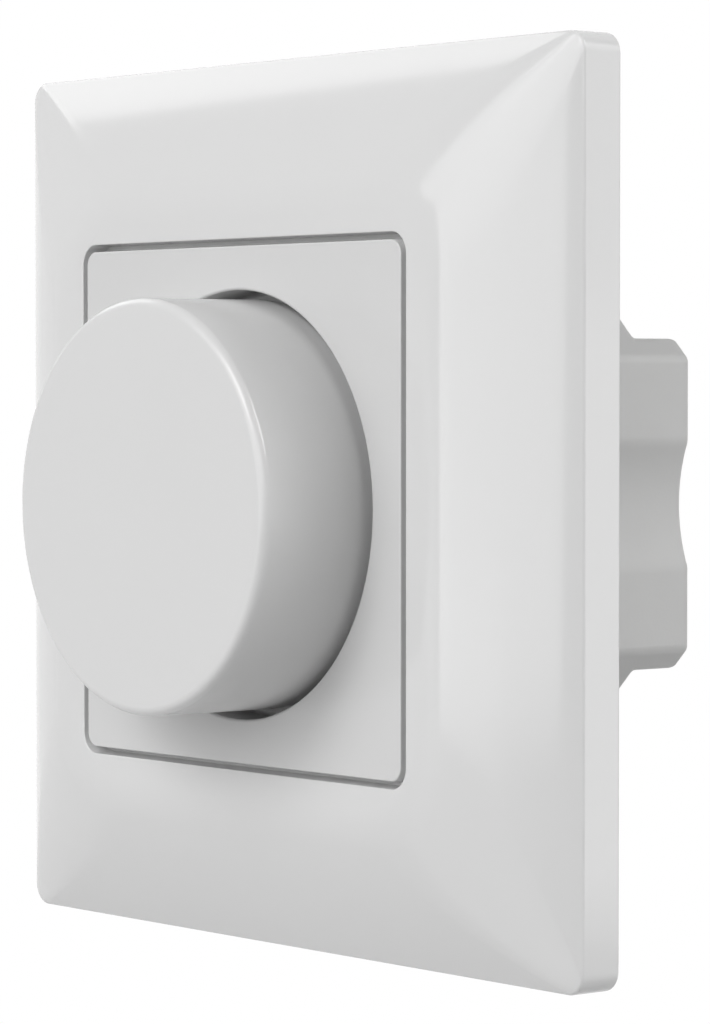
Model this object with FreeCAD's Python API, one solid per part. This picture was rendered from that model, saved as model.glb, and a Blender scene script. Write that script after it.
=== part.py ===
import FreeCAD, Part
import math
import os

Vec = FreeCAD.Vector

# Rotary dimmer for a round wall box, in millimetres: X to the right, Y into the wall, Z up.
# The origin is the middle of the wall surface: the trim is at negative Y, the housing at positive Y.

# Cover frame: crowned square moulding
frame_size = 86.0
frame_side = 4.4
crown_rise = 6.1
flat_margin = 2.2
knee_r = 13.0
knee_lean = 18.0
frame_corner_r = 2.0
flat_corner_r = 6.0
frame_edge_r = 0.6
frame_wall = 2.2
opening_edge_r = 0.3
ledge_width = 2.0
ledge_thick = 1.5
collar_wall = 2.0
frame_rib_thick = 1.4
frame_rib_spread = 28.0
frame_rib_clear = 5.0
crown_steps = 3

# Centre plate: square plate with the knob's well
plate_overhang = 0.1
plate_gap = 0.4
plate_thick = 2.2
plate_corner_r = 1.6
plate_edge_r = 0.35
plate_margin = 2.9
well_wall = 1.5
well_depth = 4.9
well_floor = 1.6
well_edge = 0.3
peg_r = 1.2
peg_length = 1.3
peg_spread = 22.0
peg_gap = 0.15

# Knob: moulded cup on a hub
push_travel = 1.2
knob_reach = 11.8
knob_sink = 2.9
knob_gap = 0.9
knob_edge_r = 0.7
knob_skirt = 2.0
knob_face = 2.4
knob_rib_count = 6
knob_rib_thick = 1.2
knob_rib_height = 5.0
hub_wall = 2.45
hub_clear = 0.6
clip_thick = 0.35
clip_bow = 0.2
clip_width = 3.2
clip_length = 6.5
clip_gap = 0.1

# Bushing, nut and washer that clamp the plate
neck_r = 4.95
neck_gap = 0.25
neck_stand = 0.7
thread_gap = 0.05
nut_flats = 14.0
nut_thick = 2.5
washer_thick = 0.6
washer_width = 2.4
flange_size = 15.0
flange_thick = 1.4

# Shaft with its circlip
shaft_r = 3.0
shaft_flat = 1.5
shaft_tip = 0.4
shaft_end_gap = 0.3
fit_gap = 0.05
groove_r = 2.2
circlip_thick = 0.6
circlip_width = 2.4
circlip_mouth = 2.6
circlip_gap = 0.1
shoulder_length = 0.8
drive_r = 2.1
drive_flat = 1.5
drive_gap = 0.1

# Encoder case with rotor, brush, detent leaf, strap and pins
base_size = 15.0
rotor_r = 5.5
rotor_thick = 2.2
rotor_ribs = 24
rotor_rib_depth = 0.4
rotor_gap = 0.8
rotor_end_gap = 0.3
brush_thick = 0.2
brush_r = 4.4
brush_width = 1.4
brush_finger = 0.9
brush_fingers = 3
base_web = 0.8
detent_thick = 0.25
detent_gap = 0.15
detent_bow = 0.7
detent_span = 9.0
detent_width = 1.8
strap_thick = 0.4
strap_height = 14.0
strap_leg = 8.0
strap_gap = 0.05
tab_width = 2.0
lead_out = 0.8
lead_gap = 0.1
pin_size = 0.7
pin_pitch = 2.5
pin_row = 12.8

# Push switch: plunger and bowed leaf
plunger_r = 2.2
plunger_gap = 0.15
plunger_flange_r = 3.4
plunger_flange = 0.6
plunger_play = 0.1
plunger_lift = 0.05
chamber_r = 4.6
leaf_thick = 0.2
leaf_span = 7.6
leaf_width = 2.4
leaf_room = 0.4

# Yoke: folded steel plate with slots for the wall box's screws
yoke_thick = 1.2
yoke_margin = 5.3
yoke_corner_r = 6.0
yoke_gap = 0.3
lip_height = 2.2
lip_length = 24.0
lip_bend_r = 0.5
box_pitch = 60.0
slot_width = 4.2
slot_length = 7.0

# Housing lid with tower and posts
tower_r = 15.0
tower_wall = 1.8
tower_front_wall = 1.6
lid_thick = 2.2
lip_depth = 1.5
lip_wall = 1.2
lip_gap = 0.15
post_r = 2.2
post_inset = 3.0

# Housing: eight-sided cup with a stepped back block
housing_size = 49.8
housing_chamfer = 10.8
housing_wall = 1.8
block_height = 32.0
block_step = 5.4
block_wall = 1.2
housing_edge_r = 0.4
scoop_width = 12.0
scoop_depth = 1.2
boss_r = 3.0
boss_inset = 3.46
boss_hole_depth = 10.0
pad_size = 4.0
pad_height = 0.9
pad_x = 10.0
pad_inset = 4.0

# Screws that hold yoke, lid and housing together
yoke_screw_r = 1.4
yoke_screw_length = 10.0
yoke_screw_head_r = 2.8
yoke_screw_head = 1.6
hole_gap = 0.2

# Boards and their screws
board_thick = 1.6
control_width = 34.0
control_height = 24.0
board_gap = 0.6
bay_depth = 6.6
board_screw_r = 0.95
board_screw_length = 5.0
board_screw_head_r = 1.8
board_screw_head = 1.0

# Parts on the boards
chip_width = 7.0
chip_height = 5.0
chip_thick = 0.9
chip_z = -2.0
header_pin_count = 5
header_size = 2.5
header_z = 10.0
choke_r = 6.2
choke_bore_r = 3.4
choke_thick = 4.4
choke_margin = 1.25
choke_z = -2.0
wire_thick = 0.45
winding_turns = 12
film_length = 13.0
film_width = 6.0
film_height = 5.2
film_edge_r = 0.5
film_margin = 4.5
can_r = 2.6
can_length = 10.0
can_margin = 8.5
transistor_width = 8.0
transistor_length = 7.0
transistor_height = 3.4
transistor_spread = 9.2
transistor_margin = 3.1
spreader_width = 19.0
spreader_thick = 1.5
fuse_r = 1.8
fuse_length = 10.0
fuse_cap = 2.0
fuse_neck = 0.25
fuse_x = -1.0
fuse_margin = 4.2
absorber_r = 4.0
absorber_thick = 3.4
absorber_edge = 0.8
absorber_margin = 5.5

# Wire terminals: brass pillars with clamp screws
terminal_spread = 18.0
pillar_width = 6.4
pillar_length = 6.6
pillar_gap = 0.2
pillar_end_gap = 0.1
wire_bore_r = 1.6
wire_bore_depth = 5.8
wire_inset = 3.2
clamp_screw_r = 1.25
clamp_head_r = 1.9
clamp_head = 1.6
clamp_slot_width = 0.5
clamp_slot_depth = 0.6
clamp_back = 3.1
clamp_gap = 0.15

# Places along the depth, worked out from the sizes above
front_y = -(frame_side + crown_rise)
ledge_y = front_y + plate_thick
collar_back = ledge_y + ledge_thick
floor_front = front_y + well_depth
floor_back = floor_front + well_floor
tower_inside = floor_back + tower_front_wall
strap_back = tower_inside + strap_thick
flange_back = strap_back + flange_thick
circlip_front = flange_back + circlip_gap
circlip_back = circlip_front + circlip_thick
shoulder_back = circlip_back + shoulder_length
rotor_front = shoulder_back + push_travel + drive_gap
rotor_back = rotor_front + rotor_thick
web_front = rotor_back + rotor_end_gap
web_back = web_front + base_web
shaft_back = web_front - drive_gap
plunger_front = shaft_back + plunger_lift
plunger_step = web_back + plunger_play
plunger_back = plunger_step + plunger_flange
control_front = plunger_back + push_travel + leaf_room
control_back = control_front + board_thick
power_front = control_back + bay_depth
power_back = power_front + board_thick
floor_inside = power_back + pad_height
step_back = floor_inside + housing_wall
block_back = step_back + block_step
block_inside = block_back - block_wall
washer_front = floor_front - washer_thick
nut_front = washer_front - nut_thick
neck_front = nut_front - neck_stand
knob_front = front_y - knob_reach
knob_inside = knob_front + knob_face
knob_rim = front_y + knob_sink
hub_back = neck_front - push_travel - hub_clear

# Widths worked out from the sizes above
frame_half = frame_size / 2
plate_size = housing_size + 2 * plate_overhang
opening_half = plate_size / 2 + plate_gap
ledge_half = opening_half - ledge_width
flat_half = opening_half + flat_margin
knee_angle = math.radians(knee_lean)
knee_half = flat_half + knee_r * math.sin(knee_angle)
knee_y = front_y + knee_r * (1 - math.cos(knee_angle))
slope_run = frame_half - knee_half
slope_fall = -frame_side - knee_y
slope_turn = 2 * (math.atan2(slope_fall, slope_run) - knee_angle)
slope_r = math.hypot(slope_run, slope_fall) / (2 * math.sin(slope_turn / 2))
slope_half = knee_half - slope_r * math.sin(knee_angle)
slope_y = knee_y + slope_r * math.cos(knee_angle)
well_outer_r = plate_size / 2 - plate_margin
well_r = well_outer_r - well_wall
knob_r = well_r - knob_gap
bore_r = shaft_r + fit_gap
hub_r = bore_r + hub_wall
yoke_half = frame_half - frame_wall - yoke_margin
housing_half = housing_size / 2
housing_diagonal = 2 * housing_half - housing_chamfer
cavity_half = housing_half - housing_wall
cavity_diagonal = housing_diagonal - housing_wall * math.sqrt(2)
scoop_r = ((scoop_width / 2) ** 2 + scoop_depth ** 2) / (2 * scoop_depth)
scoop_x = housing_half - scoop_depth + scoop_r
boss_place = (housing_diagonal - boss_inset * math.sqrt(2)) / 2
post_x = control_width / 2 - post_inset
post_z = control_height / 2 - post_inset
block_half = block_height / 2
power_half = cavity_half - board_gap
pad_z = power_half - pad_inset
choke_x = -(power_half - scoop_depth - choke_margin - wire_thick - choke_r)
fuse_z = power_half - fuse_margin - fuse_r
column_room = boss_place - boss_r + power_half - transistor_margin
column_parts = 2 * absorber_r + film_width + 2 * can_r + transistor_length
column_gap = (column_room - column_parts) / 4
absorber_x = power_half - absorber_margin - absorber_r
absorber_z = boss_place - boss_r - column_gap - absorber_r
film_x = power_half - film_margin - film_length / 2
film_z = absorber_z - absorber_r - column_gap - film_width / 2
can_x = power_half - can_margin - can_length / 2
can_z = film_z - film_width / 2 - column_gap - can_r
transistor_z = can_z - can_r - column_gap - transistor_length / 2
pillar_end = block_half - housing_wall - pillar_gap
wire_z = pillar_end - wire_inset
clamp_y = block_back - clamp_back
over = 1.0


def four(x, z):
    """The four places that mirror (x, z) in both middle planes."""
    return [(x, z), (-x, z), (-x, -z), (x, -z)]


def cylinder(radius, y0, y1, x=0.0, z=0.0):
    """Round bar along Y."""
    return Part.makeCylinder(radius, y1 - y0, Vec(x, y0, z), Vec(0, 1, 0))


def box(width, height, y0, y1, x=0.0, z=0.0):
    """Block along Y, centred on (x, z)."""
    return Part.makeBox(width, y1 - y0, height, Vec(x - width / 2, y0, z - height / 2))


def ring(inner_r, outer_r, y0, y1, x=0.0, z=0.0):
    """Flat ring round an axis along Y."""
    return cylinder(outer_r, y0, y1, x, z).cut(cylinder(inner_r, y0, y1, x, z))


def prism(corners, y0, y1):
    """Straight-sided block along Y over a closed outline of (x, z) corners."""
    points = [Vec(x, y0, z) for x, z in corners]
    face = Part.Face(Part.makePolygon(points + points[:1]))
    return face.extrude(Vec(0, y1 - y0, 0))


def octagon(half, diagonal, y0, y1):
    """Square block with its corners cut off at 45 degrees, where |x| + |z| is the diagonal."""
    short = diagonal - half
    corners = [(half, -short), (half, short), (short, half), (-short, half)]
    corners += [(-x, -z) for x, z in corners]
    return prism(corners, y0, y1)


def rounded_square(half, radius, y):
    """Closed outline of a square with round corners in the plane at depth y."""
    straight = half - radius
    middle = straight + radius * math.sqrt(0.5)
    edges = []
    for cos, sin in ((1, 0), (0, 1), (-1, 0), (0, -1)):
        def place(x, z):
            return Vec(x * cos - z * sin, y, x * sin + z * cos)
        corner = Part.Arc(place(half, straight), place(middle, middle), place(straight, half))
        edges.append(Part.LineSegment(place(half, -straight), place(half, straight)).toShape())
        edges.append(corner.toShape())
    return Part.Wire(edges)


def rounded_block(half, radius, y0, y1):
    """Square block along Y with round corners."""
    return Part.Face(rounded_square(half, radius, y0)).extrude(Vec(0, y1 - y0, 0))


def turned(profile):
    """Solid of revolution about the Y axis from (radius, y) corners."""
    points = [Vec(radius, y, 0) for radius, y in profile]
    face = Part.Face(Part.makePolygon(points + points[:1]))
    return face.revolve(Vec(0, 0, 0), Vec(0, 1, 0), 360)


def bowed_leaf(start, middle, end, thickness, across):
    """Leaf spring: an arc through three points, with its thickness and width as vectors."""
    outline = Part.Wire([
        Part.Arc(start, middle, end).toShape(),
        Part.LineSegment(end, end + thickness).toShape(),
        Part.Arc(end + thickness, middle + thickness, start + thickness).toShape(),
        Part.LineSegment(start + thickness, start).toShape(),
    ])
    return Part.Face(outline).extrude(across)


def d_bar(radius, flat, y0, y1):
    """Round bar along Y with one flat on its +X side."""
    cut_depth = radius - flat + over
    return cylinder(radius, y0, y1).cut(box(cut_depth, 3 * radius, y0, y1, flat + cut_depth / 2))


def two_flats(radius, flat, y0, y1):
    """Round bar along Y with flats above and below."""
    return cylinder(radius, y0, y1).common(box(3 * radius, 2 * flat, y0, y1))


def flat_edges(shape, y, reach):
    """Edges that lie in the plane at depth y and within reach of the axis in X and Z."""
    found = []
    for edge in shape.Edges:
        span = edge.BoundBox
        in_plane = abs(span.YMin - y) < 1e-4 and abs(span.YMax - y) < 1e-4
        wide = max(abs(span.XMin), abs(span.XMax), abs(span.ZMin), abs(span.ZMax))
        if in_plane and wide < reach:
            found.append(edge)
    return found


def crown(wall, corner_r, back, ruled):
    """Block one wall inside the frame: a flat front, an arc for the knee, a wider arc for the slope, and a
    straight side to back. A ruled crown goes from step to step in straight lines."""
    half = frame_half - wall
    edge_angle = math.asin((half - slope_half) / (slope_r - wall))
    places = [(flat_half, front_y + wall)]
    for middle, depth, radius, first, last in (
        (flat_half, front_y + knee_r, knee_r - wall, 0.0, knee_angle),
        (slope_half, slope_y, slope_r - wall, knee_angle, edge_angle),
    ):
        for step in range(1, crown_steps + 1):
            angle = first + (last - first) * step / crown_steps
            places.append((middle + radius * math.sin(angle), depth - radius * math.cos(angle)))
    sections = []
    for reach, y in places:
        share = (reach - flat_half) / (half - flat_half)
        sections.append(rounded_square(reach, flat_corner_r + (corner_r - flat_corner_r) * share, y))
    side = rounded_block(half, corner_r, places[-1][1], back)
    return Part.makeLoft(sections, True, ruled).fuse(side).removeSplitter()


def cover_frame():
    """Crowned shell, open behind, with a collar and ledge round the opening and two ribs on each side."""
    shell = crown(0.0, frame_corner_r, 0.0, False)
    shell = shell.makeFillet(frame_edge_r, flat_edges(shell, -frame_side, frame_size))
    hollow = crown(frame_wall, frame_corner_r / 2, over, True)
    collar_r = plate_corner_r + collar_wall
    hollow = hollow.cut(rounded_block(opening_half + collar_wall, collar_r, front_y, collar_back))
    for place in (-frame_rib_spread / 2, frame_rib_spread / 2):
        hollow = hollow.cut(box(frame_size, frame_rib_thick, front_y, -frame_rib_clear, 0.0, place))
        hollow = hollow.cut(box(frame_rib_thick, frame_size, front_y, -frame_rib_clear, place, 0.0))
    opening = rounded_block(opening_half, plate_corner_r + plate_gap, front_y - over, ledge_y)
    through = rounded_block(ledge_half, plate_corner_r, ledge_y, 0.0)
    shell = shell.cut(hollow).cut(opening).cut(through)
    return shell.makeFillet(opening_edge_r, flat_edges(shell, front_y, opening_half + over))


def centre_plate():
    """Plate that lies on the frame's ledge, with a well for the knob and two pegs behind its floor."""
    plate = rounded_block(plate_size / 2, plate_corner_r, front_y, ledge_y)
    plate = plate.makeFillet(plate_edge_r, flat_edges(plate, front_y, plate_size))
    plate = plate.fuse(cylinder(well_outer_r, ledge_y, floor_back))
    plate = plate.cut(cylinder(well_r, front_y, floor_front))
    plate = plate.makeChamfer(well_edge, flat_edges(plate, front_y, well_r + over / 10))
    plate = plate.cut(cylinder(neck_r + neck_gap, floor_front, floor_back))
    for x in (-peg_spread / 2, peg_spread / 2):
        plate = plate.fuse(cylinder(peg_r, floor_back, floor_back + peg_length, x))
    return plate.removeSplitter()


def knob():
    """Cup with a rounded front edge, and a ribbed hub with a D bore and a clip pocket."""
    inside_r = knob_r - knob_skirt
    outline = cylinder(knob_r, knob_front, knob_rim).cut(cylinder(inside_r, knob_inside, knob_rim))
    cup = outline.makeFillet(knob_edge_r, flat_edges(outline, knob_front, knob_r + over))
    for spoke in range(knob_rib_count):
        rib = box(inside_r, knob_rib_thick, knob_inside, knob_inside + knob_rib_height, inside_r / 2)
        rib.rotate(Vec(0, 0, 0), Vec(0, 1, 0), 360 * (spoke + 0.5) / knob_rib_count)
        cup = cup.fuse(rib)
    cup = cup.fuse(cylinder(hub_r, knob_inside, hub_back))
    cup = cup.cut(d_bar(bore_r, shaft_flat + fit_gap, knob_inside, hub_back))
    pocket = clip_thick + clip_bow + clip_gap
    pocket_x = shaft_flat + fit_gap + pocket / 2
    clip_room = clip_width + 2 * clip_gap
    cup = cup.cut(box(pocket, clip_room, hub_back - clip_length - clip_gap, hub_back, pocket_x))
    return cup.removeSplitter()


def knob_clip():
    """Bowed leaf between the hub's pocket and the shaft's flat."""
    near = shaft_flat + fit_gap + clip_gap / 2
    first = hub_back - clip_length
    return bowed_leaf(
        Vec(near + clip_bow, first, -clip_width / 2),
        Vec(near, first + clip_length / 2, -clip_width / 2),
        Vec(near + clip_bow, hub_back, -clip_width / 2),
        Vec(clip_thick, 0, 0),
        Vec(0, 0, clip_width),
    )


def shaft():
    """Turned shaft: D end for the knob, bearing length, circlip groove, shoulder, and a drive end."""
    tip = knob_inside + shaft_end_gap
    bar = turned([
        (0, tip), (shaft_r - shaft_tip, tip), (shaft_r, tip + shaft_tip), (shaft_r, circlip_front),
        (groove_r, circlip_front), (groove_r, circlip_back), (shaft_r, circlip_back),
        (shaft_r, shoulder_back), (0, shoulder_back),
    ])
    flat_back = hub_back + hub_clear
    cut_depth = shaft_r - shaft_flat + over
    bar = bar.cut(box(cut_depth, 3 * shaft_r, tip, flat_back, shaft_flat + cut_depth / 2))
    return bar.fuse(two_flats(drive_r, drive_flat, shoulder_back, shaft_back)).removeSplitter()


def shaft_circlip():
    """Open ring in the shaft's groove."""
    clip = ring(groove_r, groove_r + circlip_width, circlip_front, circlip_back)
    mouth_height = 2 * groove_r + circlip_width
    return clip.cut(box(circlip_mouth, mouth_height, circlip_front, circlip_back, 0, -groove_r))


def encoder_bushing():
    """Cast square flange with a round neck, bored for the shaft."""
    body = box(flange_size, flange_size, strap_back, flange_back)
    body = body.fuse(cylinder(neck_r, neck_front, strap_back))
    return body.cut(cylinder(bore_r, neck_front, flange_back)).removeSplitter()


def plate_nut():
    """Hexagon nut on the neck, in front of the well's floor."""
    corner = nut_flats / math.sqrt(3)
    corners = []
    for side in range(6):
        angle = math.radians(60 * side)
        corners.append((corner * math.cos(angle), corner * math.sin(angle)))
    thread = cylinder(neck_r + thread_gap, nut_front, washer_front)
    return prism(corners, nut_front, washer_front).cut(thread)


def lock_washer():
    """Flat ring between the nut and the well's floor."""
    inner_r = neck_r + thread_gap
    return ring(inner_r, inner_r + washer_width, washer_front, floor_front)


def encoder_bracket():
    """Folded strap in front of the flange, with two legs whose tabs go through the control board."""
    outer = base_size / 2 + strap_gap + strap_thick
    strap = box(2 * outer, strap_height, tower_inside, strap_back)
    strap = strap.cut(cylinder(neck_r + neck_gap, tower_inside, strap_back))
    for side in (-1, 1):
        middle = side * (outer - strap_thick / 2)
        strap = strap.fuse(box(strap_thick, strap_leg, strap_back, control_front, middle))
        strap = strap.fuse(box(strap_thick, tab_width, control_front, control_back + lead_out, middle))
    return strap.removeSplitter()


def encoder_base():
    """Moulded case with a chamber for the rotor, a web, and a chamber for the push switch."""
    case = box(base_size, base_size, flange_back, control_front)
    case = case.cut(cylinder(rotor_r + rotor_gap, flange_back, web_front))
    case = case.cut(cylinder(plunger_r + plunger_gap, web_front, web_back))
    case = case.cut(cylinder(chamber_r, web_back, control_front))
    nose = rotor_r + detent_gap
    tall = detent_bow + detent_thick + detent_gap
    slot = box(detent_span + 2 * detent_gap, tall, rotor_front, web_front, 0, nose + tall / 2)
    return case.cut(slot)


def detent_spring():
    """Bowed leaf in the case, flexed as far as the rotor's ribs lift it."""
    nose = rotor_r + detent_gap
    first = rotor_front + (rotor_thick - detent_width) / 2
    return bowed_leaf(
        Vec(-detent_span / 2, first, nose + detent_bow),
        Vec(0, first, nose),
        Vec(detent_span / 2, first, nose + detent_bow),
        Vec(0, 0, detent_thick),
        Vec(0, detent_width, 0),
    )


def wiper_rotor():
    """Disc with a ribbed rim and a bore with two flats for the shaft's drive end."""
    corners = []
    for point in range(2 * rotor_ribs):
        radius = rotor_r - rotor_rib_depth * (point % 2)
        angle = math.pi * point / rotor_ribs
        corners.append((radius * math.cos(angle), radius * math.sin(angle)))
    bore = two_flats(drive_r + drive_gap, drive_flat + drive_gap, rotor_front, rotor_back)
    return prism(corners, rotor_front, rotor_back).cut(bore)


def rotor_brush():
    """Thin ring behind the rotor with fingers that sweep the case's web."""
    back = rotor_back + brush_thick
    brush = ring(brush_r - brush_width, brush_r, rotor_back, back)
    reach = rotor_r - rotor_rib_depth - brush_r
    for finger in range(brush_fingers):
        middle = brush_r + (reach - brush_width / 2) / 2
        arm = box(reach + brush_width / 2, brush_finger, rotor_back, back, middle)
        arm.rotate(Vec(0, 0, 0), Vec(0, 1, 0), 360 * finger / brush_fingers)
        brush = brush.fuse(arm)
    return brush.removeSplitter()


def pin_places():
    """Three pins below the axis and two above it."""
    below = [(pin_pitch * step, -pin_row / 2) for step in (-1, 0, 1)]
    return below + [(pin_pitch * step, pin_row / 2) for step in (-1, 1)]


def encoder_pins():
    """Five contact pins from the case through the control board."""
    pins = [box(pin_size, pin_size, control_front, control_back + lead_out, x, z) for x, z in pin_places()]
    return Part.makeCompound(pins)


def switch_plunger():
    """Button that stands through the case's web, behind the shaft."""
    stem = cylinder(plunger_r, plunger_front, plunger_step)
    return stem.fuse(cylinder(plunger_flange_r, plunger_step, plunger_back)).removeSplitter()


def switch_spring():
    """Bowed leaf on the control board that closes the contact and lifts the plunger."""
    foot = control_front - leaf_thick
    crest = plunger_back + plunger_lift
    return bowed_leaf(
        Vec(-leaf_span / 2, foot, -leaf_width / 2),
        Vec(0, crest, -leaf_width / 2),
        Vec(leaf_span / 2, foot, -leaf_width / 2),
        Vec(0, leaf_thick, 0),
        Vec(0, 0, leaf_width),
    )


def mounting_yoke():
    """Steel plate with four folded lips, a round opening for the tower, and slots for the box's screws."""
    yoke = rounded_block(yoke_half, yoke_corner_r, -yoke_thick, 0.0)
    bend = lip_bend_r + yoke_thick
    fold = box(bend, lip_length, -yoke_thick, 0.0, yoke_half - bend / 2)
    centre = Vec(yoke_half - bend, -bend, -lip_length / 2)
    curve = Part.makeCylinder(bend, lip_length, centre, Vec(0, 0, 1))
    curve = curve.cut(Part.makeCylinder(lip_bend_r, lip_length, centre, Vec(0, 0, 1)))
    curve = curve.common(box(bend, lip_length, -bend, 0.0, yoke_half - bend / 2))
    upright = box(yoke_thick, lip_length, -bend - lip_height, -bend, yoke_half - yoke_thick / 2)
    lip = curve.fuse(upright)
    for quarter in range(4):
        for shape, join in ((fold, False), (lip, True)):
            placed = shape.copy()
            placed.rotate(Vec(0, 0, 0), Vec(0, 1, 0), 90 * quarter)
            yoke = yoke.fuse(placed) if join else yoke.cut(placed)
    yoke = yoke.cut(cylinder(tower_r + yoke_gap, -yoke_thick, 0.0))
    straight = slot_length - slot_width
    slot = box(straight, slot_width, -yoke_thick, 0.0, box_pitch / 2)
    for end in (-1, 1):
        slot = slot.fuse(cylinder(slot_width / 2, -yoke_thick, 0.0, box_pitch / 2 + end * straight / 2))
    for quarter in range(4):
        placed = slot.copy()
        placed.rotate(Vec(0, 0, 0), Vec(0, 1, 0), 90 * quarter)
        yoke = yoke.cut(placed)
    for x, z in four(boss_place, boss_place):
        yoke = yoke.cut(cylinder(yoke_screw_r + hole_gap, -yoke_thick, 0.0, x, z))
    return yoke.removeSplitter()


def yoke_screws():
    """Four screws with pan heads in front of the yoke."""
    screws = []
    for x, z in four(boss_place, boss_place):
        head = cylinder(yoke_screw_head_r, -yoke_thick - yoke_screw_head, -yoke_thick, x, z)
        shank = cylinder(yoke_screw_r, -yoke_thick, yoke_screw_length - yoke_thick, x, z)
        screws.append(head.fuse(shank).removeSplitter())
    return Part.makeCompound(screws)


def scooped(shape, y0, y1, growth):
    """The shape with the hollows for the box's screw posts taken out of its left and right sides."""
    for side in (-1, 1):
        shape = shape.cut(cylinder(scoop_r + growth, y0, y1, side * scoop_x))
    return shape


def front_cover():
    """Lid of the housing: plate, tower for the control, lip that locates the housing, and board posts."""
    lip_back = lid_thick + lip_depth
    lid = octagon(housing_half, housing_diagonal, 0.0, lid_thick)
    lid = lid.fuse(cylinder(tower_r, floor_back, 0.0))
    lid = lid.cut(cylinder(tower_r - tower_wall, tower_inside, lid_thick))
    rim_diagonal = cavity_diagonal - lip_gap * math.sqrt(2)
    rim = octagon(cavity_half - lip_gap, rim_diagonal, lid_thick, lip_back)
    rim = scooped(rim, lid_thick, lip_back, housing_wall + lip_gap)
    room_diagonal = rim_diagonal - lip_wall * math.sqrt(2)
    room = octagon(cavity_half - lip_gap - lip_wall, room_diagonal, lid_thick, lip_back)
    rim = rim.cut(scooped(room, lid_thick, lip_back, housing_wall + lip_gap + lip_wall))
    for x, z in four(boss_place, boss_place):
        rim = rim.cut(cylinder(boss_r + lip_gap, lid_thick, lip_back, x, z))
    lid = scooped(lid, floor_back, lid_thick, 0.0).fuse(rim)
    for x, z in four(post_x, post_z):
        lid = lid.fuse(cylinder(post_r, lid_thick - over, control_front, x, z))
        hole_front = control_back - board_screw_length - hole_gap
        lid = lid.cut(cylinder(board_screw_r + thread_gap, hole_front, control_front, x, z))
    for x, z in four(boss_place, boss_place):
        lid = lid.cut(cylinder(yoke_screw_r + hole_gap, 0.0, lid_thick, x, z))
    lid = lid.cut(cylinder(neck_r + neck_gap, floor_back, tower_inside))
    for x in (-peg_spread / 2, peg_spread / 2):
        lid = lid.cut(cylinder(peg_r + peg_gap, floor_back, tower_inside, x))
    return lid.removeSplitter()


def stepped_octagon(half, diagonal, block, front, step, back):
    """Eight-sided block whose back part is only as high as twice the block's half height."""
    low = octagon(half, diagonal, front, step)
    tall = octagon(half, diagonal, step, back).common(box(2 * half, 2 * block, step, back))
    return low.fuse(tall).removeSplitter()


def rear_housing():
    """Eight-sided cup with a stepped back, screw bosses, board pads, wire entries and clamp screw windows."""
    shell = stepped_octagon(
        housing_half, housing_diagonal, block_half, lid_thick, step_back, block_back)
    shell = scooped(shell, lid_thick, block_back, 0.0)
    shell = shell.makeFillet(housing_edge_r, flat_edges(shell, block_back, housing_size))
    hollow = stepped_octagon(
        cavity_half, cavity_diagonal, block_half - housing_wall, lid_thick, floor_inside, block_inside)
    hollow = scooped(hollow, lid_thick, block_back, housing_wall)
    for x, z in four(boss_place, boss_place):
        hollow = hollow.cut(cylinder(boss_r, lid_thick, floor_inside, x, z))
    for x, z in four(pad_x, pad_z):
        hollow = hollow.cut(box(pad_size, pad_size, power_back, floor_inside, x, z))
    shell = shell.cut(hollow)
    for x, z in four(boss_place, boss_place):
        shell = shell.cut(cylinder(yoke_screw_r + thread_gap, lid_thick, lid_thick + boss_hole_depth, x, z))
    for x, z in four(terminal_spread / 2, wire_z):
        shell = shell.cut(cylinder(wire_bore_r, block_inside, block_back, x, z))
    window_r = clamp_head_r + hole_gap
    for x, z in four(terminal_spread / 2, block_half):
        inward = Vec(0, 0, -math.copysign(1.0, z))
        shell = shell.cut(Part.makeCylinder(window_r, housing_wall, Vec(x, clamp_y, z), inward))
    return shell


def header_places():
    """A row of pins between the two boards."""
    first = -(header_pin_count - 1) * header_size / 2
    return [(first + header_size * step, header_z) for step in range(header_pin_count)]


def control_board():
    """Board that carries the encoder, with holes for pins, tabs, header and screws."""
    board = box(control_width, control_height, control_front, control_back)
    hole = pin_size + 2 * lead_gap
    for x, z in pin_places() + header_places():
        board = board.cut(box(hole, hole, control_front, control_back, x, z))
    tab = base_size / 2 + strap_gap + strap_thick / 2
    for side in (-1, 1):
        slot_thick = strap_thick + 2 * lead_gap
        slot_tall = tab_width + 2 * lead_gap
        board = board.cut(box(slot_thick, slot_tall, control_front, control_back, side * tab))
    for x, z in four(post_x, post_z):
        board = board.cut(cylinder(board_screw_r + hole_gap, control_front, control_back, x, z))
    for x, z in four(boss_place, boss_place):
        board = board.cut(cylinder(boss_r + board_gap, control_front, control_back, x, z))
    return board


def board_screws():
    """Four screws that hold the control board on the lid's posts."""
    screws = []
    for x, z in four(post_x, post_z):
        head = cylinder(board_screw_head_r, control_back, control_back + board_screw_head, x, z)
        shank = cylinder(board_screw_r, control_back - board_screw_length, control_back, x, z)
        screws.append(head.fuse(shank).removeSplitter())
    return Part.makeCompound(screws)


def power_board():
    """Board on the housing's pads, cut off at the corners to clear the screw bosses."""
    diagonal = 2 * boss_place - (boss_r + board_gap) * math.sqrt(2)
    board = octagon(power_half, diagonal, power_front, power_back)
    board = scooped(board, power_front, power_back, housing_wall + board_gap)
    hole = pin_size + 2 * lead_gap
    for x, z in header_places():
        board = board.cut(box(hole, hole, power_front, power_back, x, z))
    return board


def controller_chip():
    """Controller on the back of the control board."""
    return box(chip_width, chip_height, control_back, control_back + chip_thick, 0, chip_z)


def header_strip():
    """Moulded strip that holds the header's pins on the power board."""
    length = header_pin_count * header_size
    strip = box(length, header_size, power_front - header_size, power_front, 0, header_z)
    hole = pin_size + 2 * lead_gap
    for x, z in header_places():
        strip = strip.cut(box(hole, hole, power_front - header_size, power_front, x, z))
    return strip


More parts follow.
